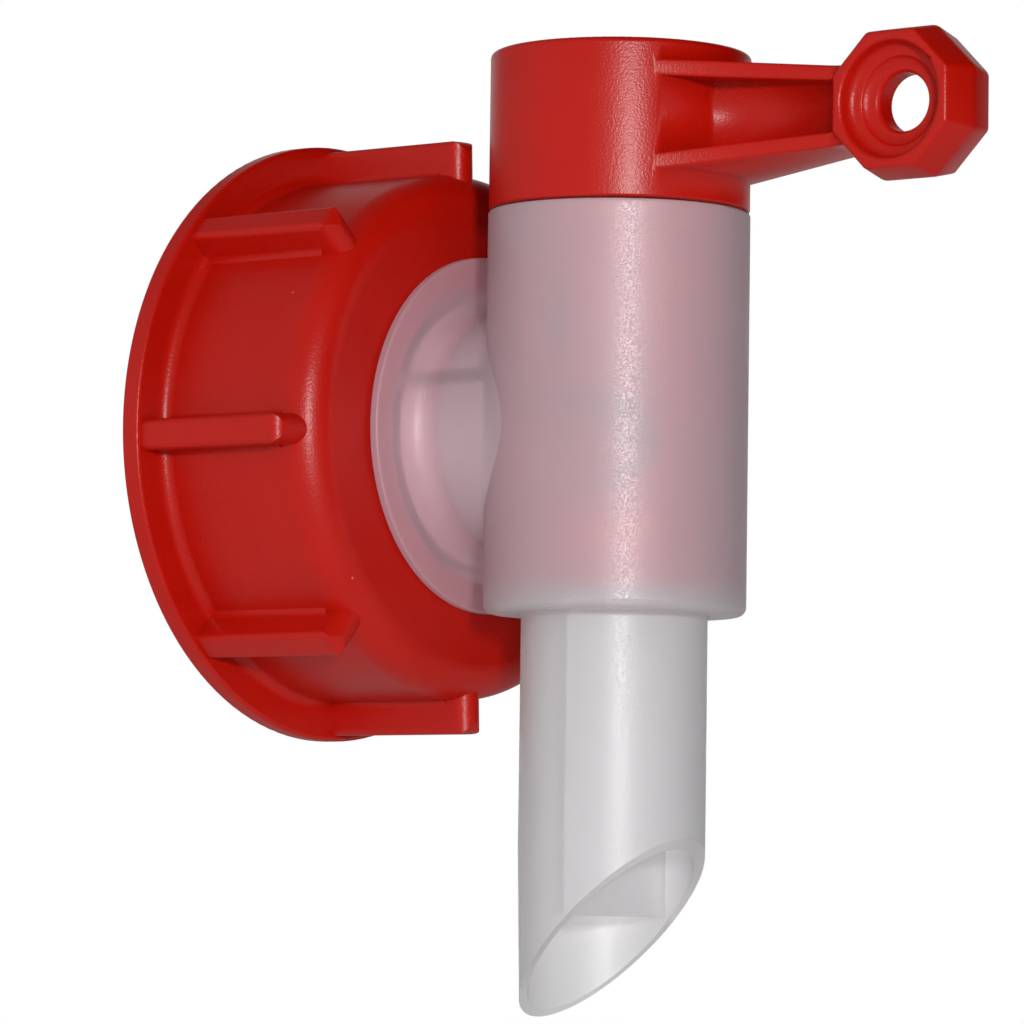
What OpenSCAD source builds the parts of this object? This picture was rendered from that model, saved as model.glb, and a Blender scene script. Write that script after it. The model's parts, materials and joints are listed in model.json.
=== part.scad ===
// Jerrycan tap: a screw cap with a quarter-turn plug tap swivelling in it.
// The origin is the middle of the cap's mouth, +Y points into the can,
// the flow leaves downwards through the spout, and +Z is up.
// The tap is drawn closed, with the lever pointing away from the can.

/* [Cap] */
// Diameter of the bore that carries the neck thread
cap_bore_d = 51.2; // [48:0.2:62]
// Wall of the skirt round this bore
cap_wall = 1.8; // [1.4:0.1:2.6]
// Length of the threaded bore, from the mouth
cap_thread_len = 14.4; // [13:0.2:15]
// Step in from the bore's wall to the seat that holds the gasket
cap_seat_step = 0.35; // [0.1:0.05:1.5]
// Height of the cap along its axis
cap_h = 21.8; // [20.5:0.1:26]
// Thickness of the cap's front face
cap_face_t = 2.2; // [1.6:0.1:2.8]
// Radius of the rounded front edge
cap_edge_r = 3.6; // [1:0.1:4]
// Width of the flange that stands out round the mouth
cap_flange_w = 4.1; // [3.7:0.1:6]
// Thickness of the flange round the mouth
cap_flange_t = 2.2; // [1.4:0.1:3.5]
// Radius of the flange's outer edges
cap_rim_r = 0.4; // [0.2:0.1:0.6]
// Radius of the fillet between flange and skirt
cap_root_r = 1.2; // [0.3:0.1:1.6]
// Number of grip ribs
rib_count = 8; // [6:1:12]
// Angle that the cap is turned on its axis, which shows at the ribs, in degrees
rib_turn = -2.4; // [-22.5:0.1:22.5]
// Width of a grip rib
rib_w = 3.2; // [2:0.1:5]
// Height of a rib above the skirt
rib_h = 3.5; // [2:0.1:3.6]
// Distance from the front face back to the end of a rib
rib_setback = 1.2; // [0.6:0.1:4]
// Radius of a rib's rounded front corner
rib_corner_r = 1.4; // [0.3:0.1:1.8]
// Radius along a rib's crest edges
rib_edge_r = 0.7; // [0.2:0.1:0.9]
// Radius of the fillet at a rib's foot
rib_foot_r = 0.8; // [0.2:0.1:1.2]
// Distance that this fillet stops behind the rounded front edge
rib_foot_setback = 0.3; // [0.2:0.1:1]

/* [Gasket] */
// Thickness of the neck gasket
gasket_t = 2.6; // [1.5:0.1:3.4]
// Gap all round between gasket and cap seat
gasket_side_gap = 0.15; // [0.05:0.05:0.5]

/* [Inlet] */
// Diameter of the flange in front of the cap
inlet_flange_d = 37; // [34:0.5:46]
// Thickness of the flange in front of the cap
inlet_flange_t = 1; // [0.8:0.1:2]
// Radius of that flange's edges
inlet_rim_r = 0.25; // [0.1:0.05:0.35]
// Running gap between that flange and the cap's face
inlet_flange_gap = 0.25; // [0.1:0.05:0.5]
// Diameter of the spigot that turns in the cap
spigot_d = 30.8; // [28:0.1:32]
// Wall of the spigot
spigot_wall = 1.8; // [1.2:0.1:2.5]
// Radial gap between the spigot and the hole in the cap
spigot_gap = 0.1; // [0.05:0.05:0.3]
// Height of the snap bead that holds cap and gasket on the spigot
bead_h = 0.55; // [0.3:0.05:0.9]
// Length of the snap bead along the spigot
bead_len = 1.6; // [1:0.1:2]
// Gap between the gasket and the snap bead
bead_gap = 0.2; // [0.1:0.05:0.4]
// Length of plain spigot behind the snap bead
spigot_tail = 0.8; // [0.4:0.1:1]
// Outside diameter of the neck between flange and barrel
neck_d = 24.7; // [22:0.1:25.6]
// Wall of the neck
neck_wall = 1.9; // [1.4:0.1:2.4]
// Distance from the front of the flange to the axis of the barrel
neck_reach = 16.4; // [15.5:0.1:22]
// Radius of the fillet between neck and flange
neck_fillet_r = 2.5; // [0.5:0.1:3]
// Height of the air partition's middle above the inlet axis
divider_z = 4.9; // [4.7:0.1:5]
// Thickness of the air partition in the inlet
divider_t = 1.4; // [1:0.1:1.6]

/* [Barrel] */
// Outside diameter of the barrel
barrel_d = 26.8; // [26:0.1:30]
// Diameter of the bore that the plug turns in
barrel_bore_d = 23.2; // [22:0.1:24]
// Height of the barrel's top edge above the inlet axis
barrel_top = 22.1; // [20.5:0.1:30]
// Depth of the barrel's bottom below the inlet axis
barrel_depth = 19; // [17:0.1:24]
// Thickness of the ledge at the barrel's bottom
ledge_t = 2.2; // [1.6:0.1:3]
// Radius of the barrel's bottom edge
barrel_edge_r = 1; // [0.4:0.1:1.5]
// Radius of the barrel's top edge
barrel_rim_r = 0.3; // [0.1:0.1:0.6]
// Distance from the top edge down to the middle of the snap groove
groove_drop = 2.3; // [1.6:0.1:3.5]
// Width of the snap groove
groove_w = 1.6; // [1.3:0.1:2]
// Depth of the snap groove
groove_depth = 0.55; // [0.4:0.05:0.8]

/* [Ports] */
// Width of the window between inlet and barrel
window_w = 9.6; // [7:0.1:10]
// Height of the window and of the plug's main port
port_h = 11; // [10:0.1:11.4]
// Width of the plug's main port
port_w = 19.6; // [14:0.1:19.8]
// Distance from the inlet axis down to the middle of the main port
port_drop = 2.1; // [1.9:0.1:2.6]
// Diameter of the vent port
vent_d = 5.2; // [4:0.1:5.6]
// Height of the vent port above the inlet axis
vent_rise = 8.9; // [8.6:0.1:9.4]

/* [Spout] */
// Outside diameter of the spout
spout_d = 19; // [16:0.1:20]
// Wall of the spout
spout_wall = 1.15; // [0.9:0.05:2]
// Radius of the fillet where the spout leaves the barrel
spout_root_r = 0.5; // [0.2:0.1:1]
// Distance from the inlet axis down to the cut, on the spout's axis
spout_drop = 50.9; // [44:0.1:80]
// Slope of the slanted cut from level, in degrees
cut_angle = 44.3; // [20:0.1:50]
// Height of the tapered end above the lowest tip
tip_taper_h = 17.5; // [10:0.5:20]
// Amount that the radius draws in over the tapered end
tip_taper = 0.36; // [0:0.02:0.5]
// Thickness of the air partition in the spout
duct_wall = 1.3; // [0.8:0.1:1.6]
// Distance that the air partition stops above the cut, on the axis
duct_short = 1.4; // [0.5:0.1:6]

/* [Plug] */
// Radial running gap between plug and barrel
plug_gap = 0.1; // [0.05:0.01:0.2]
// Gap below the plug and under its head
plug_end_gap = 0.2; // [0.1:0.05:0.5]
// Wall of the plug round its chambers
plug_wall = 1.9; // [1.4:0.1:2.4]
// Thickness of the wall between liquid and air chambers
chamber_wall = 1.4; // [1:0.1:2]
// Thickness of solid above the main port and the vent
port_roof = 0.9; // [0.5:0.1:1.2]
// Outside diameter of the head
head_d = 26.7; // [26:0.1:30]
// Height of the head above the barrel
head_h = 16.1; // [14:0.1:26]
// Wall round the hollow in the top of the head
head_wall = 2.1; // [1.6:0.1:3]
// Radius of the head's top edge
head_edge_r = 0.6; // [0.2:0.1:0.9]
// Radius of the head's bottom edge
head_rim_r = 0.25; // [0.1:0.05:0.5]
// Thickness of the floor under the hollow
head_floor_t = 2; // [1.4:0.1:4]
// Height of the retaining bead that snaps into the barrel's groove
plug_bead_h = 0.35; // [0.2:0.05:0.45]
// Angle that the tap turns between shut and open, in degrees
turn_angle = 90; // [80:1:95]
// Angle that the stop in the barrel takes up, in degrees
stop_angle = 16; // [10:1:20]
// Height of the stop above the ledge
stop_h = 1.5; // [1:0.1:2]
// Spare angle of the notch beyond the stop, in degrees
stop_spare = 1.5; // [1:0.5:3]
// Room in the notch on the inner side of the stop
stop_room = 1; // [0.5:0.1:1.5]
// Half length of the retaining bead's flat crest
plug_bead_flat = 0.3; // [0.2:0.05:0.4]

/* [Lever] */
// Distance from the plug's axis to the middle of the eye
eye_reach = 35.85; // [34:0.05:60]
// Number of sides of the eye
eye_sides = 8; // [6:2:12]
// Height of the eye's middle above the underside of the head
eye_lift = 8.4; // [8.2:0.05:9]
// Width of the eye across its flats, at the middle
eye_flats = 15.1; // [14.6:0.1:18]
// Width of the eye across its flats, at the two faces
eye_face_flats = 13.5; // [13:0.1:14.4]
// Thickness of the eye
eye_t = 7.8; // [6:0.1:9.5]
// Diameter of the dished recess in each face
dish_d = 11.7; // [10.8:0.1:12]
// Diameter of the deeper well in the middle of the dish
well_d = 8.4; // [7.4:0.1:9]
// Depth of the dish where the well begins
dish_depth = 1.9; // [1.8:0.1:2]
// Drop of the dish's steep rim
dish_rim_drop = 1.6; // [0.8:0.1:1.7]
// Width of the sloping edges in the dish
dish_bevel = 0.3; // [0.1:0.1:0.6]
// Diameter of the hole through the eye
eye_hole_d = 5.8; // [4:0.1:6.4]
// Thickness of the wall left round the hole
eye_web_t = 2; // [1.2:0.1:3]
// Width of the arm at the head
arm_root_w = 14.9; // [10:0.1:18]
// Width of the arm at the eye
arm_tip_w = 6.8; // [5:0.1:7.6]
// Height of the arm at the head
arm_root_h = 10.6; // [9.8:0.1:12]
// Height of the arm at the eye
arm_tip_h = 8.2; // [7.5:0.1:9]
// Distance that the arm's middle falls on the way to the eye
arm_fall = 0.15; // [0:0.05:0.4]
// Thickness of the arm's two flanges
arm_flange_t = 1.55; // [1.2:0.05:2.2]
// Thickness of the arm's web
arm_web_t = 3.3; // [2:0.1:4.5]

/* [Hidden] */
$fn = 96;
// Segments of a small rounding
small_fn = 32;
// Overlap that joins or cuts cleanly through
eps = 0.4;
// Depth that a fillet sinks into a round wall
sink = 0.05;
red = [0.78, 0.07, 0.05];
natural = [0.83, 0.81, 0.80];
black = [0.12, 0.12, 0.12];

// Radii
cap_bore_r = cap_bore_d / 2;
cap_skirt_r = cap_bore_r + cap_wall;
cap_seat_r = cap_bore_r - cap_seat_step;
cap_flange_r = cap_skirt_r + cap_flange_w;
rib_crest_r = cap_skirt_r + rib_h;
spigot_r = spigot_d / 2;
spigot_bore_r = spigot_r - spigot_wall;
cap_hole_r = spigot_r + spigot_gap;
inlet_flange_r = inlet_flange_d / 2;
neck_r = neck_d / 2;
neck_bore_r = neck_r - neck_wall;
barrel_r = barrel_d / 2;
barrel_bore_r = barrel_bore_d / 2;
spout_r = spout_d / 2;
spout_bore_r = spout_r - spout_wall;
plug_r = barrel_bore_r - plug_gap;
chamber_r = plug_r - plug_wall;
head_r = head_d / 2;
head_bore_r = head_r - head_wall;
stop_in_r = chamber_r;

// Places along the inlet axis
cap_seat_y = -cap_h + cap_face_t;
gasket_back_y = cap_seat_y + gasket_t;
bead_y = gasket_back_y + bead_gap;
spigot_end_y = bead_y + bead_len + spigot_tail;
inlet_front_y = -cap_h - inlet_flange_gap - inlet_flange_t;
step_y = inlet_front_y + neck_wall;
axis_y = inlet_front_y - neck_reach;

// Heights
ledge_z = -barrel_depth + ledge_t;
plug_bottom_z = ledge_z + plug_end_gap;
head_bottom_z = barrel_top + plug_end_gap;
head_top_z = head_bottom_z + head_h;
groove_z = barrel_top - groove_drop;
liquid_roof_z = -port_drop + port_h / 2 + port_roof;
air_roof_z = vent_rise + vent_d / 2 + port_roof;
head_floor_z = air_roof_z + head_floor_t;
eye_z = head_bottom_z + eye_lift;
tip_z = -spout_drop - spout_r * tan(cut_angle);
taper_z = tip_z + tip_taper_h;
duct_end_z = -spout_drop + duct_short;

// The arm between head and eye
arm_len = eye_reach - eye_flats / 2 - head_r;
arm_taper = (arm_root_h - arm_tip_h) / 2 / arm_len;
arm_narrowing = (arm_root_w - arm_tip_w) / 2 / arm_len;

// Turns a shape drawn along Z so that it lies along Y
module along_y() {
    rotate([-90, 0, 0]) children();
}

// Moves a shape to the axis of barrel, plug and spout
module at_barrel() {
    translate([0, axis_y, 0]) children();
}

// Fills the corner between a wall at x = 0 and a floor at y = 0
module corner_fillet(r) {
    difference() {
        translate([-eps, -eps]) square(r + eps);
        translate([r, r]) circle(r, $fn = small_fn);
    }
}

// A rectangle from the origin whose two corners at x = w are round
module soft_bar(w, h, r) {
    square([w - r, h]);
    translate([0, r]) square([w, h - 2 * r]);
    for (y = [r, h - r]) translate([w - r, y]) circle(r, $fn = small_fn);
}

// A slot with round ends, standing upright or lying flat
module obround(w, h) {
    r = min(w, h) / 2;
    square(w > h ? [w - 2 * r, h] : [w, h - 2 * r], center = true);
    for (s = [-1, 1])
        translate([s * (w / 2 - r), s * (h / 2 - r)]) circle(r);
}

// Half outline of the cap, with its radius along x and its axis along y
module cap_outline() {
    translate([0, -cap_flange_t]) soft_bar(cap_flange_r, cap_flange_t, cap_rim_r);
    translate([0, -cap_h + cap_edge_r]) square([cap_skirt_r, cap_h - cap_edge_r]);
    translate([0, -cap_h]) square([cap_skirt_r - cap_edge_r, cap_h]);
    translate([cap_skirt_r - cap_edge_r, -cap_h + cap_edge_r]) circle(cap_edge_r);
    translate([cap_skirt_r, -cap_flange_t]) mirror([0, 1]) corner_fillet(cap_root_r);
}

// Half outline that the ribs are cut to
module rib_outline() {
    rib_front_y = -cap_h + rib_setback;
    inner_r = cap_bore_r + eps;
    translate([inner_r, rib_front_y + rib_corner_r])
        square([rib_crest_r - inner_r, -rib_front_y - rib_corner_r - eps]);
    translate([inner_r, rib_front_y])
        square([rib_crest_r - rib_corner_r - inner_r, -rib_front_y - eps]);
    translate([rib_crest_r - rib_corner_r, rib_front_y + rib_corner_r])
        circle(rib_corner_r, $fn = small_fn);
}

// Section of one rib, with the cap's axis at the origin and the rib along +x
module rib_section() {
    start_x = cap_bore_r + eps;
    translate([start_x, -rib_w / 2]) square([rib_crest_r - rib_edge_r - start_x, rib_w]);
    translate([start_x, -rib_w / 2 + rib_edge_r])
        square([rib_crest_r - start_x, rib_w - 2 * rib_edge_r]);
    for (s = [-1, 1])
        translate([rib_crest_r - rib_edge_r, s * (rib_w / 2 - rib_edge_r)])
            circle(rib_edge_r, $fn = small_fn);
}

// A rib's outline seen from outside, along the cap's axis, with its round nose
module rib_plan() {
    nose_y = -cap_h + rib_setback + rib_w / 2;
    translate([0, nose_y]) circle(rib_w / 2);
    translate([-rib_w / 2, nose_y]) square([rib_w, -nose_y]);
}

// The fillets at the two sides of a rib's foot
module rib_feet() {
    foot_x = sqrt(pow(cap_skirt_r, 2) - pow(rib_w / 2 + rib_foot_r, 2)) - sink;
    for (s = [-1, 1])
        translate([foot_x, s * rib_w / 2]) mirror([0, s < 0 ? 1 : 0]) corner_fillet(rib_foot_r);
}

module cap_ribs() {
    feet_start = cap_edge_r + rib_foot_setback;
    feet_len = cap_h - feet_start - cap_flange_t / 2;
    intersection() {
        rotate_extrude() rib_outline();
        for (i = [0 : rib_count - 1])
            rotate([0, 0, 90 + i * 360 / rib_count]) intersection() {
                translate([0, 0, -cap_h]) linear_extrude(cap_h) rib_section();
                rotate([90, 0, 90]) linear_extrude(cap_flange_r) rib_plan();
            }
    }
    for (i = [0 : rib_count - 1])
        rotate([0, 0, 90 + i * 360 / rib_count])
            translate([0, 0, -cap_h + feet_start]) linear_extrude(feet_len) rib_feet();
}

module screw_cap() {
    color(red) along_y() rotate([0, 0, rib_turn]) difference() {
        union() {
            rotate_extrude() cap_outline();
            cap_ribs();
        }
        translate([0, 0, -cap_thread_len]) cylinder(r = cap_bore_r, h = cap_thread_len + eps);
        translate([0, 0, cap_seat_y]) cylinder(r = cap_seat_r, h = -cap_seat_y);
        translate([0, 0, -cap_h - eps]) cylinder(r = cap_hole_r, h = cap_h);
    }
}

module neck_gasket() {
    color(black) along_y() translate([0, 0, cap_seat_y]) difference() {
        cylinder(r = cap_seat_r - gasket_side_gap, h = gasket_t);
        translate([0, 0, -eps]) cylinder(r = cap_hole_r, h = gasket_t + 2 * eps);
    }
}

// Half outline of the inlet, from the barrel's axis to the end of the spigot
module inlet_outline() {
    translate([0, axis_y]) square([neck_r, inlet_front_y - axis_y + inlet_flange_t]);
    translate([neck_r, inlet_front_y]) mirror([0, 1]) corner_fillet(neck_fillet_r);
    translate([0, inlet_front_y]) soft_bar(inlet_flange_r, inlet_flange_t, inlet_rim_r);
    translate([0, inlet_front_y]) square([spigot_r, spigot_end_y - inlet_front_y]);
    translate([0, bead_y]) polygon([
        [0, 0], [spigot_r, 0], [spigot_r + bead_h, bead_h], [spigot_r + bead_h, bead_len / 2],
        [spigot_r, bead_len], [0, bead_len]
    ]);
}

// Half outline of the hollow in the inlet
module inlet_hollow() {
    translate([0, axis_y]) square([neck_bore_r, spigot_end_y - axis_y + eps]);
    translate([0, step_y]) square([spigot_bore_r, spigot_end_y - step_y + eps]);
}

// The wall that parts air above from liquid below, right through the inlet
module inlet_divider() {
    intersection() {
        rotate_extrude() difference() {
            inlet_outline();
            translate([0, spigot_end_y]) square([spigot_r, eps]);
        }
        translate([-spigot_bore_r - eps, -divider_z - divider_t / 2, axis_y])
            cube([2 * (spigot_bore_r + eps), divider_t, spigot_end_y - axis_y]);
    }
}

module inlet() {
    along_y() {
        difference() {
            rotate_extrude() inlet_outline();
            rotate_extrude() inlet_hollow();
        }
        inlet_divider();
    }
}

module barrel() {
    edge_z = -barrel_depth + barrel_edge_r;
    rotate_extrude() {
        translate([0, edge_z]) square([barrel_r, barrel_top - barrel_rim_r - edge_z]);
        translate([0, -barrel_depth]) square([barrel_r - barrel_edge_r, barrel_depth]);
        translate([barrel_r - barrel_edge_r, edge_z]) circle(barrel_edge_r);
        square([barrel_r - barrel_rim_r, barrel_top]);
        translate([barrel_r - barrel_rim_r, barrel_top - barrel_rim_r])
            circle(barrel_rim_r, $fn = small_fn);
    }
}

module spout() {
    translate([0, 0, taper_z]) cylinder(r = spout_r, h = ledge_z - taper_z);
    translate([0, 0, tip_z]) cylinder(r1 = spout_r - tip_taper, r2 = spout_r, h = tip_taper_h);
    translate([0, 0, -barrel_depth]) rotate_extrude()
        translate([spout_r, 0]) mirror([0, 1]) corner_fillet(spout_root_r);
}

// The bore that the plug turns in, with the groove for its bead
module barrel_bore() {
    translate([0, 0, ledge_z]) cylinder(r = barrel_bore_r, h = barrel_top - ledge_z + eps);
    translate([0, 0, groove_z - groove_w / 2])
        cylinder(r = barrel_bore_r + groove_depth, h = groove_w);
}

// Everything below the slanted cut of the spout
module spout_cut() {
    depth = 3 * spout_d;
    translate([0, 0, -spout_drop]) rotate([-cut_angle, 0, 0])
        translate([-spout_d, -depth / 2, -depth]) cube([2 * spout_d, depth, depth]);
}

// The windows from the inlet into the barrel, no wider than the neck's bore
module barrel_windows() {
    intersection() {
        along_y() cylinder(r = neck_bore_r, h = barrel_r + eps);
        union() {
            translate([0, 0, -port_drop]) along_y()
                linear_extrude(barrel_r + eps) obround(window_w, port_h);
            translate([0, 0, vent_rise]) along_y() cylinder(d = vent_d, h = barrel_r + eps);
        }
    }
}

// Part of a ring, drawn between two angles
module ring_sector(r_in, r_out, z, h, from, span) {
    rotate([0, 0, from]) rotate_extrude(angle = span)
        translate([r_in, z]) square([r_out - r_in, h]);
}

// The stop that stands on the ledge and limits the plug's turn
module turn_stop() {
    ring_sector(stop_in_r, barrel_bore_r + eps, ledge_z - eps, stop_h + eps, -stop_angle / 2, stop_angle);
}

// The wall that parts air in front from liquid behind, down the spout
module spout_divider() {
    height = ledge_z - duct_end_z;
    translate([0, 0, duct_end_z]) intersection() {
        cylinder(r = spout_bore_r + eps, h = height);
        translate([-spout_r, -duct_wall / 2, 0]) cube([spout_d, duct_wall, height]);
    }
}

module tap_body() {
    color(natural) difference() {
        union() {
            difference() {
                union() {
                    inlet();
                    at_barrel() barrel();
                }
                at_barrel() barrel_bore();
                at_barrel() barrel_windows();
                at_barrel() translate([0, 0, -barrel_depth - eps])
                    cylinder(r = spout_bore_r, h = ledge_t + 2 * eps);
            }
            at_barrel() difference() {
                spout();
                translate([0, 0, tip_z - eps])
                    cylinder(r = spout_bore_r, h = ledge_z - tip_z + 2 * eps);
            }
            at_barrel() spout_divider();
            at_barrel() turn_stop();
        }
        at_barrel() spout_cut();
    }
}

// One of the plug's two chambers; side is -1 for liquid and 1 for air
module chamber(side, roof_z) {
    height = roof_z - plug_bottom_z + eps;
    near_x = side > 0 ? chamber_wall / 2 : -chamber_wall / 2 - plug_r;
    translate([0, 0, plug_bottom_z - eps]) intersection() {
        cylinder(r = chamber_r, h = height);
        translate([near_x, -plug_r, 0]) cube([plug_r, 2 * plug_r, height]);
    }
}

module plug_ports() {
    translate([-plug_r - eps, 0, -port_drop]) rotate([90, 0, 90])
        linear_extrude(plug_r + eps - chamber_wall / 2) obround(port_w, port_h);
    translate([-plug_r - eps, 0, vent_rise]) rotate([0, 90, 0])
        cylinder(d = vent_d, h = plug_r + eps + chamber_wall);
}

module plug_core() {
    translate([0, 0, plug_bottom_z]) cylinder(r = plug_r, h = head_bottom_z - plug_bottom_z + eps);
    lead_z = -plug_bead_flat - plug_bead_h;
    back_z = plug_bead_flat + plug_bead_h / 2;
    translate([0, 0, groove_z]) rotate_extrude() polygon([
        [0, lead_z], [plug_r, lead_z], [plug_r + plug_bead_h, -plug_bead_flat],
        [plug_r + plug_bead_h, plug_bead_flat], [plug_r, back_z], [0, back_z]
    ]);
    rotate_extrude() {
        translate([0, head_bottom_z + head_rim_r]) square([head_r, head_h - head_edge_r - head_rim_r]);
        translate([0, head_bottom_z]) square([head_r - head_edge_r, head_h]);
        translate([0, head_bottom_z]) soft_bar(head_r, head_h / 2, head_rim_r);
        translate([head_r - head_edge_r, head_top_z - head_edge_r]) circle(head_edge_r);
    }
}

// The flange above or below the arm's web, side is 1 or -1
module arm_side_outline(side) {
    start_z = arm_root_h / 2 + arm_taper * head_r;
    end_z = start_z - arm_taper * eye_reach;
    polygon([
        [0, side * start_z], [eye_reach, side * end_z - arm_fall],
        [eye_reach, side * (end_z - arm_flange_t) - arm_fall], [0, side * (start_z - arm_flange_t)]
    ]);
}

// Width of the arm, seen from above
module arm_plan() {
    start_y = arm_root_w / 2 + arm_narrowing * head_r;
    tip_x = head_r + arm_len;
    polygon([
        [0, start_y], [tip_x, arm_tip_w / 2], [eye_reach, arm_tip_w / 2],
        [eye_reach, -arm_tip_w / 2], [tip_x, -arm_tip_w / 2], [0, -start_y]
    ]);
}

module lever_arm() {
    height = 2 * arm_root_h;
    intersection() {
        translate([0, 0, -height / 2]) linear_extrude(height) arm_plan();
        union() {
            for (side = [-1, 1])
                translate([0, arm_root_w, 0]) rotate([90, 0, 0])
                    linear_extrude(2 * arm_root_w) arm_side_outline(side);
        }
    }
    tip_x = head_r + arm_len;
    tip_z = arm_tip_h / 2 - arm_flange_t / 2;
    translate([0, arm_web_t / 2, 0]) rotate([90, 0, 0]) linear_extrude(arm_web_t) polygon([
        [0, arm_root_h / 2], [tip_x, tip_z - arm_fall], [eye_reach, tip_z - arm_fall],
        [eye_reach, -tip_z - arm_fall], [tip_x, -tip_z - arm_fall], [0, -arm_root_h / 2]
    ]);
}

// The eight-sided eye, thickest at its middle
module eye_solid() {
    half_side = 180 / eye_sides;
    to_corner = 1 / cos(half_side);
    for (s = [0, 1]) mirror([0, 0, s]) rotate([0, 0, half_side])
        cylinder(r1 = eye_flats / 2 * to_corner, r2 = eye_face_flats / 2 * to_corner,
            h = eye_t / 2, $fn = eye_sides);
}

// The stepped dish in each face and the hole between them
module eye_recess() {
    deep = (eye_t - eye_web_t) / 2;
    rim = dish_d / 2;
    hole = eye_hole_d / 2;
    well = well_d / 2;
    well_depth = dish_depth + 2 * dish_bevel;
    for (s = [0, 1]) mirror([0, 0, s]) translate([0, 0, eye_t / 2]) rotate_extrude() polygon([
        [0, eps], [rim, eps], [rim, 0], [rim - dish_bevel, -dish_rim_drop],
        [well + dish_bevel, -dish_depth], [well, -well_depth], [hole + dish_bevel, -well_depth],
        [hole, -deep], [0, -deep]
    ]);
    cylinder(r = hole, h = eye_t, center = true);
}

module lever() {
    translate([0, 0, eye_z]) rotate([0, 0, -90]) difference() {
        union() {
            lever_arm();
            translate([eye_reach, 0, 0]) rotate([90, 0, 0]) eye_solid();
        }
        translate([eye_reach, 0, 0]) rotate([90, 0, 0]) eye_recess();
        translate([0, 0, -arm_root_h]) cylinder(r = head_r - head_wall / 2, h = 2 * arm_root_h);
    }
}

module plug_lever() {
    notch_from = -stop_angle / 2 - stop_spare;
    notch_span = stop_angle + turn_angle + 2 * stop_spare;
    color(red) at_barrel() {
        difference() {
            plug_core();
            chamber(-1, liquid_roof_z);
            chamber(1, air_roof_z);
            plug_ports();
            translate([0, 0, head_floor_z])
                cylinder(r = head_bore_r, h = head_top_z - head_floor_z + eps);
            ring_sector(stop_in_r - stop_room, plug_r + eps, plug_bottom_z - eps,
                stop_h + eps + plug_end_gap, notch_from, notch_span);
        }
        lever();
    }
}

screw_cap();
neck_gasket();
tap_body();
plug_lever();
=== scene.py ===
# %% [markdown]
# Jerrycan tap, from frame to picture
#
# This lesson dresses a finished construction model. The construction comes
# packed as a frame: one mesh for each part, at its real size and in its real
# place. Blender adds what the frame leaves open: the edges that a mould rounds,
# the thread inside the cap, the two plastics and the rubber, and the studio
# that shows them. Lengths are written in millimetres and turned into metres
# where they are used.

# %% Load the frame
import json
import math
from contextlib import contextmanager

import bmesh
import bpy
from mathutils import Matrix, Vector


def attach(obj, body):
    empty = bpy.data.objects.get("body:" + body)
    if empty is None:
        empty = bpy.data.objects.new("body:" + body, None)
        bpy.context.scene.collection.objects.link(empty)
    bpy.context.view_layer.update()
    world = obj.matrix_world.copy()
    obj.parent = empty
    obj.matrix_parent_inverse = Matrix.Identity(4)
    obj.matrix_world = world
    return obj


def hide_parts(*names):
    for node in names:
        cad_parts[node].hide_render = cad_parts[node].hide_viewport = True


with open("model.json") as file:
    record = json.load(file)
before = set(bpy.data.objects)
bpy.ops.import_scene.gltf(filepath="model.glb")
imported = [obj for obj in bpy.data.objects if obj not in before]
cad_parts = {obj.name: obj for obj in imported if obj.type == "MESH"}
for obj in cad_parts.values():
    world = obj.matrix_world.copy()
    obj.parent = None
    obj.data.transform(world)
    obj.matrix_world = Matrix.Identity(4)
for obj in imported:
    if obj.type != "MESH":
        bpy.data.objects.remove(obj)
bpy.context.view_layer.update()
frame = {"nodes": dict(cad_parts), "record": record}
NODES = frame["nodes"]
MM = 0.001
print("parts:", ", ".join(sorted(NODES)))


# %% [markdown]
# The camera comes first, because every later choice is judged through it. The
# photograph was taken with a long lens from a little below the tap, so edges
# that run away from us hardly converge. The place and the turn of the camera
# are the ones at which the cap, barrel and spout fall on the photograph.

# %% Camera
CAMERA_AT = Vector((-457.7, -389.0, -49.55)) * MM
CAMERA_HEADING = -51.581
CAMERA_PITCH = 4.069
CAMERA_ROLL = 0.788
LENS_MM = 199.34
SENSOR_MM = 36.0
SEES_FROM = 0.01
SEES_TO = 50.0


def camera_turn(heading, pitch, roll):
    """The camera's turn from its heading, its upward pitch and its roll, in degrees."""
    level = Matrix.Rotation(math.radians(heading), 3, "Z")
    raised = Matrix.Rotation(math.radians(90 + pitch), 3, "X")
    rolled = Matrix.Rotation(math.radians(roll), 3, "Z")
    return (level @ raised @ rolled).to_4x4()


def add_camera():
    data = bpy.data.cameras.new("camera")
    data.lens = LENS_MM
    data.sensor_width = SENSOR_MM
    data.clip_start = SEES_FROM
    data.clip_end = SEES_TO
    camera = bpy.data.objects.new("camera", data)
    turn = camera_turn(CAMERA_HEADING, CAMERA_PITCH, CAMERA_ROLL)
    camera.matrix_world = Matrix.Translation(CAMERA_AT) @ turn
    bpy.context.scene.collection.objects.link(camera)
    bpy.context.scene.camera = camera


add_camera()
print("camera is", round(CAMERA_AT.length, 3), "m from the mouth of the cap")


# %% [markdown]
# A material is a small program of nodes. Written link by link it is hard to
# read, so a class wraps one socket and lets Python's own operators add the Math
# nodes. Numbers alone never make a node: Python works them out first.

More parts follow.
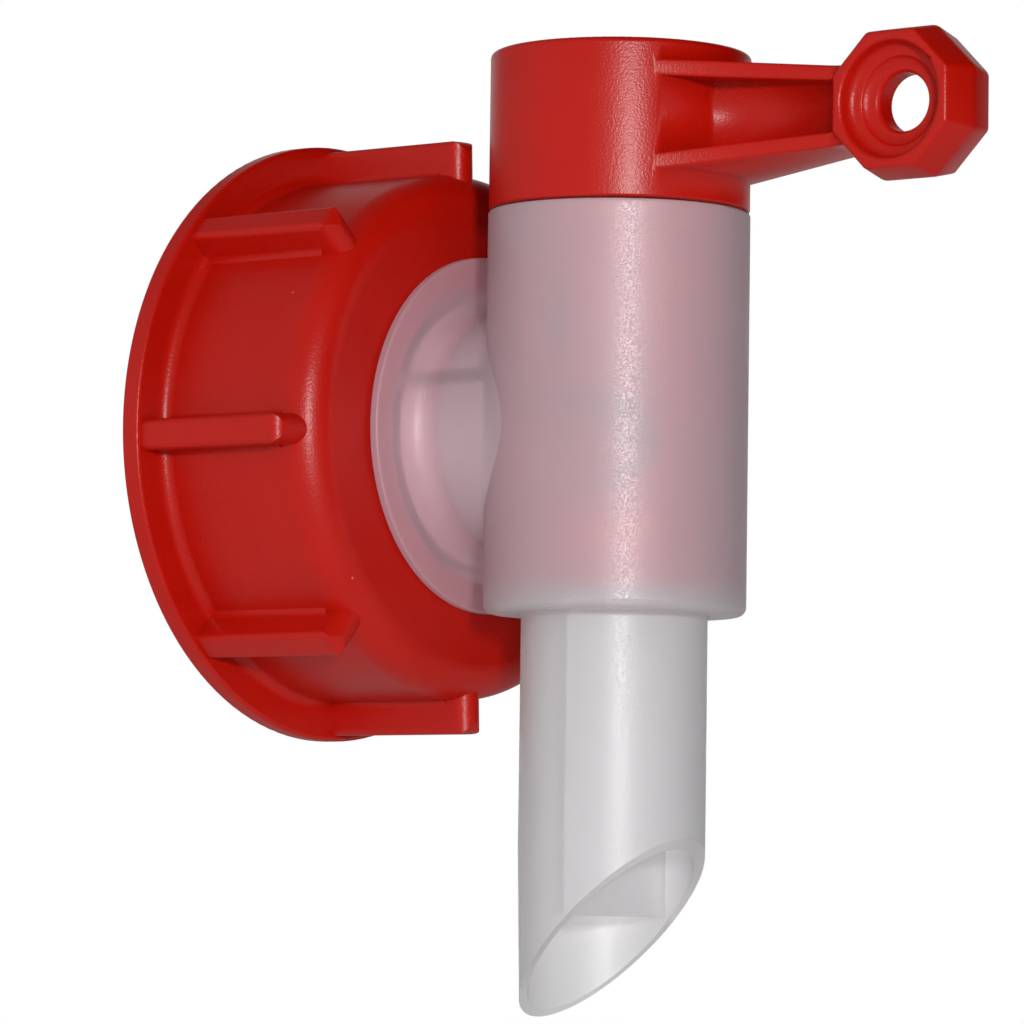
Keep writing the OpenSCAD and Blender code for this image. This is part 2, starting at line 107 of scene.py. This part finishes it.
# %% Wires
class Wire:
    """A socket of a node tree that can be added, multiplied and so on."""

    def __init__(self, tree, socket):
        self.tree = tree
        self.socket = socket

    def math(self, operation, *values):
        node = self.tree.nodes.new("ShaderNodeMath")
        node.operation = operation
        for value, socket in zip(values, node.inputs):
            connect(self.tree, value, socket)
        return Wire(self.tree, node.outputs[0])

    def __add__(self, other):
        return self.math("ADD", self, other)

    __radd__ = __add__

    def __mul__(self, other):
        return self.math("MULTIPLY", self, other)

    __rmul__ = __mul__

    def __sub__(self, other):
        return self.math("SUBTRACT", self, other)

    def __rsub__(self, other):
        return self.math("SUBTRACT", other, self)

    def __truediv__(self, other):
        return self.math("DIVIDE", self, other)

    def larger(self, other):
        return self.math("MAXIMUM", self, other)

    def smaller(self, other):
        return self.math("MINIMUM", self, other)

    def below(self, limit):
        """1 where the value is smaller than the limit, and 0 elsewhere."""
        return self.math("LESS_THAN", self, limit)

    def other(self, out):
        """Another output of the node that this wire comes from."""
        return Wire(self.tree, self.socket.node.outputs[out])


def connect(tree, value, socket):
    """Puts a number, colour or wire on a socket."""
    if isinstance(value, Wire):
        tree.links.new(value.socket, socket)
    else:
        socket.default_value = value


print("wires can be added, subtracted, multiplied, divided and compared")


# %% [markdown]
# A second class holds the whole tree. One method adds any node: its settings
# come first, because they decide which sockets it has, and its sockets after
# them. Short methods name the nodes that the finishes here need: noise, ramps,
# a colour between two colours, and tests on the kind of ray.

# %% Shader trees
class Shader:
    """A node tree of a material or of the world, with one method for any node."""

    def __init__(self, owner):
        owner.use_nodes = True
        self.tree = owner.node_tree
        self.tree.nodes.clear()

    def node(self, kind, out=0, settings=None, stops=(), family="ShaderNode", **sockets):
        """Adds a node; an underscore in a socket's name stands for a space."""
        node = self.tree.nodes.new(family + kind)
        for name, value in (settings or {}).items():
            setattr(node, name, value)
        for stop, (place, shade) in enumerate(stops):
            node.color_ramp.elements[stop].position = place
            node.color_ramp.elements[stop].color = (shade, shade, shade, 1)
        for name, value in sockets.items():
            connect(self.tree, value, self.find(node, name.replace("_", " ")))
        return Wire(self.tree, node.outputs[out])

    def find(self, node, name):
        """The enabled input of that name, or of that number for a name such as in 1."""
        enabled = [socket for socket in node.inputs if socket.enabled]
        if name.startswith("in "):
            return enabled[int(name[3:])]
        return [socket for socket in enabled if socket.name == name][0]

    def place(self):
        """The object's own coordinates in metres, so a pattern moves with its piece."""
        return self.node("TexCoord", out="Object")

    def noise(self, size_mm, detail):
        """Cloudy noise from 0 to 1, with patches of about that size."""
        return self.node("TexNoise", Vector=self.place(), Scale=1 / (size_mm * MM),
                         Detail=detail)

    def ramp(self, value, start, end):
        """0 below the start, 1 above the end, and a straight rise between them."""
        return self.node("ValToRGB", stops=((start, 0), (end, 1)), Fac=value)

    def soft_step(self, value, start, end):
        """0 below the start, 1 above the end, and a rounded rise between them."""
        return self.node("MapRange", settings={"interpolation_type": "SMOOTHSTEP"},
                         in_0=value, in_1=start, in_2=end)

    def along(self, vector, direction):
        """How far a vector reaches in a direction: the dot product of the two."""
        return self.node("VectorMath", out="Value", settings={"operation": "DOT_PRODUCT"},
                         in_0=vector, in_1=direction)

    def mix(self, share, first, second):
        """A colour between two colours; output 2 of the Mix node is the colour."""
        return self.node("Mix", out=2, settings={"data_type": "RGBA"}, Factor=share, A=first,
                         B=second)

    def blend(self, share, first, second):
        """A surface between two surfaces."""
        return self.node("MixShader", in_0=share, in_1=first, in_2=second)

    def ray(self, kind):
        """1 for rays of that kind, such as Camera or Shadow, and 0 for all others."""
        return self.node("LightPath", out=f"Is {kind} Ray")

    def finish(self, shader, end="OutputMaterial"):
        node = self.tree.nodes.new("ShaderNode" + end)
        self.tree.links.new(shader.socket, node.inputs["Surface"])


print("a shader tree has", ", ".join(name for name in vars(Shader) if name[0] != "_"))


# %% [markdown]
# All the moulds were spark-eroded, which leaves a skin of tiny rounded grains
# on the plastic. The surface is satin, and a lamp's reflection breaks up into
# sparks. Each grain is a quarter of a millimetre wide, far too small to model,
# so a noise in the bump tilts the surface a few degrees this way and that. The
# plastic itself is only moderately rough, because the grains already spread
# the reflection. A second, slow noise makes the roughness a little cloudy.

# %% Moulded skin
GRAIN_MM = 0.24
GRAIN_DETAIL = 1.0
GRAIN_DEPTH_MM = 0.03
CLOUD_MM = 9.0
CLOUD_DETAIL = 3.0
PLASTIC_IOR = 1.5


def cloud_of(shader):
    """A slow change from 0 to 1 over the surface."""
    return shader.noise(CLOUD_MM, CLOUD_DETAIL)


def moulded(shader, colour, roughness, strength, **more):
    """A Principled shader whose surface has the grain of the mould, at that strength."""
    grain = shader.noise(GRAIN_MM, GRAIN_DETAIL)
    skin = shader.node("Bump", Strength=strength, Distance=GRAIN_DEPTH_MM * MM, Height=grain)
    return shader.node("BsdfPrincipled", Base_Color=colour, Roughness=roughness, Normal=skin,
                       IOR=PLASTIC_IOR, **more)


print("the grain is", GRAIN_MM, "mm wide and at most", GRAIN_DEPTH_MM, "mm deep")


# %% [markdown]
# The red pieces are polyethylene coloured right through. Their red hardly
# changes over the surface, so the slow noise shifts it by a few per cent, and a
# few specks of pale dust lie on it. Voronoi cells scatter the specks: each cell
# has one point, and a cell's own colour decides whether its point is kept.

# %% Red plastic
RED = (0.485, 0.006, 0.001, 1)
RED_DEEP = (0.45, 0.005, 0.001, 1)
RED_SHIFT = (0.3, 0.7)
RED_ROUGHNESS = 0.3
RED_ROUGHNESS_SHIFT = 0.08
RED_GRAIN = 0.9
RED_SPECULAR = 0.33
DUST = (0.62, 0.2, 0.18, 1)
DUST_SPACING_MM = 5.0
DUST_RADIUS_MM = 0.11
DUST_SHARE = 0.3


def dust_mask(shader):
    """1 on small round specks that lie at random, and 0 between them."""
    cell = shader.node("TexVoronoi", Vector=shader.place(), Scale=1 / (DUST_SPACING_MM * MM))
    kept = shader.node("SeparateColor", Color=cell.other("Color")).below(DUST_SHARE)
    return cell.below(DUST_RADIUS_MM / DUST_SPACING_MM) * kept


def red_plastic():
    material = bpy.data.materials.new("red_plastic")
    shader = Shader(material)
    cloud = cloud_of(shader)
    tint = shader.mix(shader.ramp(cloud, *RED_SHIFT), RED_DEEP, RED)
    colour = shader.mix(dust_mask(shader), tint, DUST)
    roughness = RED_ROUGHNESS + RED_ROUGHNESS_SHIFT * cloud
    shader.finish(moulded(shader, colour, roughness, RED_GRAIN,
                          Specular_IOR_Level=RED_SPECULAR))
    return material


RED_PLASTIC = red_plastic()
print("red plastic has", len(RED_PLASTIC.node_tree.nodes), "nodes")


# %% [markdown]
# The body is the same plastic without pigment, so it is milky: part of the
# light scatters back from its skin, and part goes through and shows the red
# plug as a soft shape. Inside a real wall the light also wanders, and where the
# plug or the cap lies behind it, it comes back pink. Following that light is
# slow, so that pink is painted light in the body's colour: painted pink light
# round the plug, deeper at the inlet, and plain milk on the spout.

# %% Painted pink light in the body
MILK = (0.88, 0.875, 0.885, 1)
# Painted light: the pink that light from the red plug and cap takes on in the wall, painted
# into the body's colour.
PAINTED_PLUG_LIGHT = (0.79, 0.645, 0.7, 1)
PAINTED_CAP_LIGHT = (0.8, 0.53, 0.59, 1)
PAINTED_LIGHT_SHIFT = 0.06
PLUG_FROM_Z_MM = (-20.0, -15.0)
CAP_FROM_Y_MM = (-27.0, -24.5)


def beyond(shader, axis, start_mm, end_mm):
    """A soft step from 0 to 1 between two places on one axis of the object."""
    there = shader.node("SeparateXYZ", out=axis, Vector=shader.place())
    return shader.soft_step(there, start_mm * MM, end_mm * MM)


def body_colour(shader, cloud):
    """Milk on the spout, painted pink light round the plug, and deeper painted pink light near
    the cap.
    """
    plug_light_share = beyond(shader, "Z", *PLUG_FROM_Z_MM) - PAINTED_LIGHT_SHIFT * cloud
    cap_light_share = beyond(shader, "Y", *CAP_FROM_Y_MM)
    return shader.mix(cap_light_share, shader.mix(plug_light_share, MILK, PAINTED_PLUG_LIGHT), PAINTED_CAP_LIGHT)


print("the painted_pink_light starts between z", PLUG_FROM_Z_MM[0], "and", PLUG_FROM_Z_MM[1], "mm")


# %% [markdown]
# One Principled shader both scatters light and lets it through, with a
# transmission between nothing and full. A broken coat lies over it: the tops of
# the grains, which glitter in the lamp. Such a shader throws a shadow as dark
# as metal's, so a share of the lamp's light is let straight through, and lights
# what lies behind the wall.

# %% Natural plastic
CLEARNESS = 0.68
NATURAL_ROUGHNESS = 0.5
NATURAL_ROUGHNESS_SHIFT = 0.06
NATURAL_GRAIN = 0.6
GLINT_MM = 0.22
GLINT_DETAIL = 1.0
GLINT_RISE = (0.42, 0.62)
GLOSS = 0.42
GLOSS_ROUGHNESS = 0.36
GLOSS_IOR = 1.75
LAMP_SHARE = 0.62
LAMP_TINT = (1, 0.98, 0.98, 1)


def natural_plastic():
    material = bpy.data.materials.new("natural_plastic")
    shader = Shader(material)
    cloud = cloud_of(shader)
    roughness = NATURAL_ROUGHNESS + NATURAL_ROUGHNESS_SHIFT * cloud
    glint = shader.ramp(shader.noise(GLINT_MM, GLINT_DETAIL), *GLINT_RISE)
    wall = moulded(shader, body_colour(shader, cloud), roughness, NATURAL_GRAIN,
                   Transmission_Weight=CLEARNESS, Coat_Weight=GLOSS * glint,
                   Coat_Roughness=GLOSS_ROUGHNESS, Coat_IOR=GLOSS_IOR)
    clear = shader.node("BsdfTransparent", Color=LAMP_TINT)
    shader.finish(shader.blend(LAMP_SHARE * shader.ray("Shadow"), wall, clear))
    return material


NATURAL_PLASTIC = natural_plastic()
print("natural plastic has", len(NATURAL_PLASTIC.node_tree.nodes), "nodes")


# %% [markdown]
# The gasket is black rubber pressed between two smooth plates, so it is matt
# and even.

# %% Gasket rubber
RUBBER = (0.04, 0.039, 0.038, 1)
RUBBER_DEEP = (0.022, 0.022, 0.023, 1)
RUBBER_ROUGHNESS = 0.6
RUBBER_ROUGHNESS_SHIFT = 0.15
RUBBER_GRAIN = 0.4


def gasket_rubber():
    material = bpy.data.materials.new("gasket_rubber")
    shader = Shader(material)
    cloud = cloud_of(shader)
    colour = shader.mix(cloud, RUBBER_DEEP, RUBBER)
    roughness = RUBBER_ROUGHNESS + RUBBER_ROUGHNESS_SHIFT * cloud
    shader.finish(moulded(shader, colour, roughness, RUBBER_GRAIN))
    return material


GASKET_RUBBER = gasket_rubber()
print("gasket rubber has", len(GASKET_RUBBER.node_tree.nodes), "nodes")


# %% [markdown]
# The record that comes with the frame names a material slot for each part. The
# parts keep their meshes and only get the finish of their slot.

# %% Finish of each part
FINISH = {"red_plastic": RED_PLASTIC, "natural_plastic": NATURAL_PLASTIC,
          "gasket_rubber": GASKET_RUBBER}
for part in frame["record"]["subparts"]:
    NODES[part["node"]].data.materials.clear()
    NODES[part["node"]].data.materials.append(FINISH[part["material_slot"]])
    print(part["node"], "is made of", part["material_slot"])


# %% [markdown]
# The lever is moulded with every edge rounded, and each rounded edge shows as a
# thin bright line. The frame has the flat faces and the sharp edges between
# them, so a copy of the plug and lever is bevelled. First the edges are chosen:
# the outward ones, by their angle, and only beyond the head, which keeps the
# shape it has. In the dish of the eye the edges lie close together, so they get
# a share of the rounding.

# %% Edges to round
EDGE_DEGREES = 18.5
LEVER_FROM_Y_MM = -52.5
EYE_AT = Vector((0, -75.3, 30.7)) * MM
DISH_R_MM = 5.75
DISH_SHARE = 0.3


def share_of_rounding(edge):
    """0 for an edge that stays sharp, 1 for a rounded one, and less in the dish."""
    middle = (edge.verts[0].co + edge.verts[1].co) / 2
    outward = edge.calc_face_angle_signed(0) > math.radians(EDGE_DEGREES)
    if not outward or middle.y >= LEVER_FROM_Y_MM * MM:
        return 0.0
    return DISH_SHARE if (middle - EYE_AT).yz.length < DISH_R_MM * MM else 1.0


def mark_edges(mesh):
    """Gives every edge its share as a bevel weight, and counts the rounded ones."""
    weight = mesh.edges.layers.float.new("bevel_weight_edge")
    for edge in mesh.edges:
        edge[weight] = share_of_rounding(edge)
    return sum(edge[weight] > 0 for edge in mesh.edges)


print("the lever's edges are rounded from y", LEVER_FROM_Y_MM, "mm outwards")


# %% [markdown]
# A bevel has to meet real corners only, but a frame mesh is loose triangles. So
# the copy is merged, and its coplanar triangles are joined, before its edges
# are marked. After the bevel it is cut into triangles again, and those without
# any width are closed up, so that the solid stays tight.

# %% Marked copy
MERGE_MM = 0.0001
FLAT_DEGREES = 0.05
THIN_MM = 0.002


@contextmanager
def editing(data):
    """Opens a mesh for editing and writes it back afterwards."""
    mesh = bmesh.new()
    mesh.from_mesh(data)
    yield mesh
    mesh.to_mesh(data)
    mesh.free()


def marked_copy(node, name):
    """A copy of a frame mesh with whole faces and marked edges."""
    copy = NODES[node].data.copy()
    copy.name = name
    with editing(copy) as mesh:
        bmesh.ops.remove_doubles(mesh, verts=mesh.verts, dist=MERGE_MM * MM)
        bmesh.ops.dissolve_limit(mesh, angle_limit=math.radians(FLAT_DEGREES),
                                 verts=mesh.verts, edges=mesh.edges)
        marked = mark_edges(mesh)
    print(name, "has", marked, "edges to round")
    return copy


def clean_triangles(data):
    """Cuts a mesh into triangles and closes up those that have no width."""
    with editing(data) as mesh:
        bmesh.ops.triangulate(mesh, faces=mesh.faces, ngon_method="BEAUTY")
        bmesh.ops.dissolve_degenerate(mesh, dist=THIN_MM * MM, edges=mesh.edges)


LEVER_MESH = marked_copy("plug_lever", "lever_rounded")


# %% [markdown]
# The Bevel modifier rounds each marked edge in three steps. The narrow new
# faces are shaded smooth, and faces that meet at a larger angle keep a clean
# line between them. The finished piece rides with the plug and stands for the
# plug and lever of the frame.

# %% Rounded lever
ROUND_EDGE_MM = 0.35
ROUND_EDGE_STEPS = 3
SMOOTH_DEGREES = 32.0


def as_plain_mesh(piece):
    """Turns a piece's modifiers into its mesh."""
    shape = piece.evaluated_get(bpy.context.evaluated_depsgraph_get())
    piece.data = bpy.data.meshes.new_from_object(shape)
    piece.modifiers.clear()


def round_marked_edges(piece):
    bevel = piece.modifiers.new("round edges", "BEVEL")
    bevel.limit_method = "WEIGHT"
    bevel.width = ROUND_EDGE_MM * MM
    bevel.segments = ROUND_EDGE_STEPS
    bevel.use_clamp_overlap = False
    bevel.miter_outer = "MITER_ARC"
    as_plain_mesh(piece)
    clean_triangles(piece.data)


def smooth(piece, degrees):
    """Shades a piece smooth, apart from edges sharper than that angle."""
    for face in piece.data.polygons:
        face.use_smooth = True
    with bpy.context.temp_override(object=piece, active_object=piece, selected_objects=[piece],
                                   selected_editable_objects=[piece]):
        bpy.ops.object.shade_auto_smooth(angle=math.radians(degrees))
    as_plain_mesh(piece)


LEVER = bpy.data.objects.new("lever_rounded", LEVER_MESH)
bpy.context.scene.collection.objects.link(LEVER)
round_marked_edges(LEVER)
smooth(LEVER, SMOOTH_DEGREES)
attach(LEVER, "plug")
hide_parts("plug_lever")
print("the rounded lever has", len(LEVER.data.polygons), "faces")


# %% [markdown]
# Inside the cap runs the ridge of a coarse thread. It follows a rule, which is
# what Geometry Nodes are good at. A Geometry Nodes tree is built with the same
# calls as a shader, from nodes of another family, and its sizes are named
# inputs, so that they can be changed without touching the tree.

# %% Geometry Nodes trees
class Shape(Shader):
    """A Geometry Nodes tree with a named input for each of its sizes."""

    def __init__(self, name, sizes):
        self.tree = bpy.data.node_groups.new(name, "GeometryNodeTree")
        self.sizes = sizes
        sockets = self.tree.interface
        for label in sizes:
            sockets.new_socket(label, in_out="INPUT", socket_type="NodeSocketFloat")
        sockets.new_socket("Geometry", in_out="OUTPUT", socket_type="NodeSocketGeometry")
        self.inputs = self.tree.nodes.new("NodeGroupInput")

    def size(self, label):
        return Wire(self.tree, self.inputs.outputs[label])

    def geo(self, kind, **sockets):
        return self.node(kind, family="GeometryNode", **sockets)

    def finish(self, geometry, material):
        """Ends the tree in real geometry, because an export drops instances."""
        real = self.geo("RealizeInstances", Geometry=geometry)
        done = self.geo("SetMaterial", Geometry=real, Material=material)
        end = self.tree.nodes.new("NodeGroupOutput")
        self.tree.links.new(done.socket, end.inputs[0])

    def make(self, name):
        """Runs the tree on an empty mesh and gives back an object with a plain mesh."""
        piece = bpy.data.objects.new(name, bpy.data.meshes.new(name))
        bpy.context.scene.collection.objects.link(piece)
        modifier = piece.modifiers.new(name, "NODES")
        modifier.node_group = self.tree
        for item in self.tree.interface.items_tree:
            if item.in_out == "INPUT":
                modifier[item.identifier] = self.sizes[item.name]
        as_plain_mesh(piece)
        return piece


print("a shape tree adds", ", ".join(name for name in vars(Shape) if name[0] != "_"))


# %% [markdown]
# In the frame the bore stands at the thread's root, so the ridge is added to
# it: a spiral, a round profile swept along it, and a radius that grows from
# nothing at both ends, as the cutter of the mould runs out. The spiral is drawn
# upright and then laid along the cap's axis.

# %% Thread of the cap
THREAD = {"Radius": 25.65 * MM, "Pitch": 4.2 * MM, "Turns": 2.1, "Ridge": 0.85 * MM,
          "Run out": 0.08, "Start": -11.6 * MM}
POINTS_A_TURN = 96
RIDGE_POINTS = 12
CAP_AXIS_TURN = (math.radians(-90), 0, 0)


def spiral_with_ends(shape):
    """The thread's path, whose radius runs out to nothing at both ends."""
    spiral = shape.geo("CurveSpiral", Resolution=POINTS_A_TURN, Rotations=shape.size("Turns"),
                       Start_Radius=shape.size("Radius"), End_Radius=shape.size("Radius"),
                       Height=shape.size("Pitch") * shape.size("Turns"), Reverse=False)
    along = shape.geo("SplineParameter")
    to_end = along.smaller(1 - along)
    return shape.geo("SetCurveRadius", Curve=spiral,
                     Radius=(to_end / shape.size("Run out")).smaller(1))


def cap_thread():
    shape = Shape("cap thread", THREAD)
    profile = shape.geo("CurvePrimitiveCircle", Resolution=RIDGE_POINTS,
                        Radius=shape.size("Ridge"))
    ridge = shape.geo("CurveToMesh", Curve=spiral_with_ends(shape), Profile_Curve=profile,
                      Fill_Caps=True)
    start = shape.node("CombineXYZ", Y=shape.size("Start"))
    laid = shape.geo("Transform", Geometry=ridge, Translation=start, Rotation=CAP_AXIS_TURN)
    shape.finish(laid, RED_PLASTIC)
    return shape.make("cap_thread")


CAP_THREAD = cap_thread()
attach(CAP_THREAD, "cap")
THREAD_Y = sorted(vertex.co.y for vertex in CAP_THREAD.data.vertices)
print("the thread has", len(CAP_THREAD.data.polygons), "faces, from y",
      round(THREAD_Y[0] / MM, 1), "to", round(THREAD_Y[-1] / MM, 1), "mm")


# %% [markdown]
# The studio is a pale tent, made by the world's light: brighter on the left and
# from below, as in the photograph. The camera sees plain white behind the tap.
# Reflections and light that comes through the milky wall see the white backdrop
# too, and reflections see the rest of the tent dimmer than it shines.

# %% Tent
WHITE = (1, 1, 1, 1)
TENT = 0.47
TENT_SLOPE = Vector((-0.3, 0.3, -0.33))
MIRRORED = 0.35
TO_BACKDROP = Vector((0.784, 0.62, 0.0))
BACKDROP_RISE = (0.7, 0.95)
BACKDROP_SHARE = 0.7


def tent_world():
    world = bpy.data.worlds.new("tent")
    bpy.context.scene.world = world
    shader = Shader(world)
    glossy = shader.ray("Glossy")
    way = shader.node("TexCoord", out="Generated")
    backdrop = shader.soft_step(shader.along(way, TO_BACKDROP), *BACKDROP_RISE)
    shown = BACKDROP_SHARE * backdrop * glossy.larger(shader.ray("Transmission"))
    white = shader.ray("Camera").larger(shown)
    room = (TENT + shader.along(way, TENT_SLOPE)) * (1 - (1 - MIRRORED) * glossy)
    glow = shader.node("Background", Color=WHITE, Strength=room + (1 - room) * white)
    shader.finish(glow, end="OutputWorld")


tent_world()
print("the tent's mean light is", TENT, "of white")


# %% [markdown]
# The floor is a pale disc that fades into the white of the background, so it
# has no edge, and it keeps the tap's shadow. It has only an upper side, so the
# tap can be looked at from below too.

# %% Floor
FLOOR_AT = Vector((0, -40, -80)) * MM
FLOOR_R = 0.9
FLOOR_SIDES = 96
FLOOR_PAINT = (0.9, 0.9, 0.9, 1)
FLOOR_WHITE = 0.65
FLOOR_GLOW = 0.3
FLOOR_FADE = (0.25, 0.95)


def floor_finish():
    material = bpy.data.materials.new("floor")
    shader = Shader(material)
    seen = shader.ray("Camera")
    lift = FLOOR_WHITE * seen + FLOOR_GLOW * (1 - seen.larger(shader.ray("Glossy")))
    glow = shader.node("Emission", Color=WHITE, Strength=lift)
    lit = shader.node("AddShader", in_0=shader.node("BsdfDiffuse", Color=FLOOR_PAINT),
                      in_1=glow)
    away = shader.node("VectorMath", out="Value", settings={"operation": "LENGTH"},
                       in_0=shader.place())
    gone = shader.node("MapRange", in_0=away, in_1=FLOOR_R * FLOOR_FADE[0],
                       in_2=FLOOR_R * FLOOR_FADE[1])
    from_below = shader.node("NewGeometry", out="Backfacing")
    shader.finish(shader.blend(gone.larger(from_below), lit, shader.node("BsdfTransparent")))
    return material


bpy.ops.mesh.primitive_circle_add(vertices=FLOOR_SIDES, radius=FLOOR_R, fill_type="NGON",
                                  location=FLOOR_AT)
FLOOR = bpy.context.object
FLOOR.name = "floor"
FLOOR.data.materials.append(floor_finish())
print("the floor lies at z", round(FLOOR_AT.z / MM), "mm")


# %% [markdown]
# One small lamp stands beside the camera. Its reflection runs as a bright line
# down the barrel and the spout. The view transform is Standard, so that a
# colour renders about as it is written.

# %% Flash
FLASH_AT = Vector((-0.906, -0.967, 0.107))
FLASH_TOWARDS = Vector((0, -0.036, 0))
FLASH_SIZE = 0.1
FLASH_WATTS = 9.7


def add_flash():
    data = bpy.data.lights.new("flash", "AREA")
    data.size = FLASH_SIZE
    data.energy = FLASH_WATTS
    lamp = bpy.data.objects.new("flash", data)
    lamp.rotation_euler = (FLASH_TOWARDS - FLASH_AT).to_track_quat("-Z", "Y").to_euler()
    lamp.location = FLASH_AT
    bpy.context.scene.collection.objects.link(lamp)


add_flash()
bpy.context.scene.view_settings.view_transform = "Standard"
print("the flash is", round((FLASH_AT - FLASH_TOWARDS).length, 2), "m from the tap")


# %% [markdown]
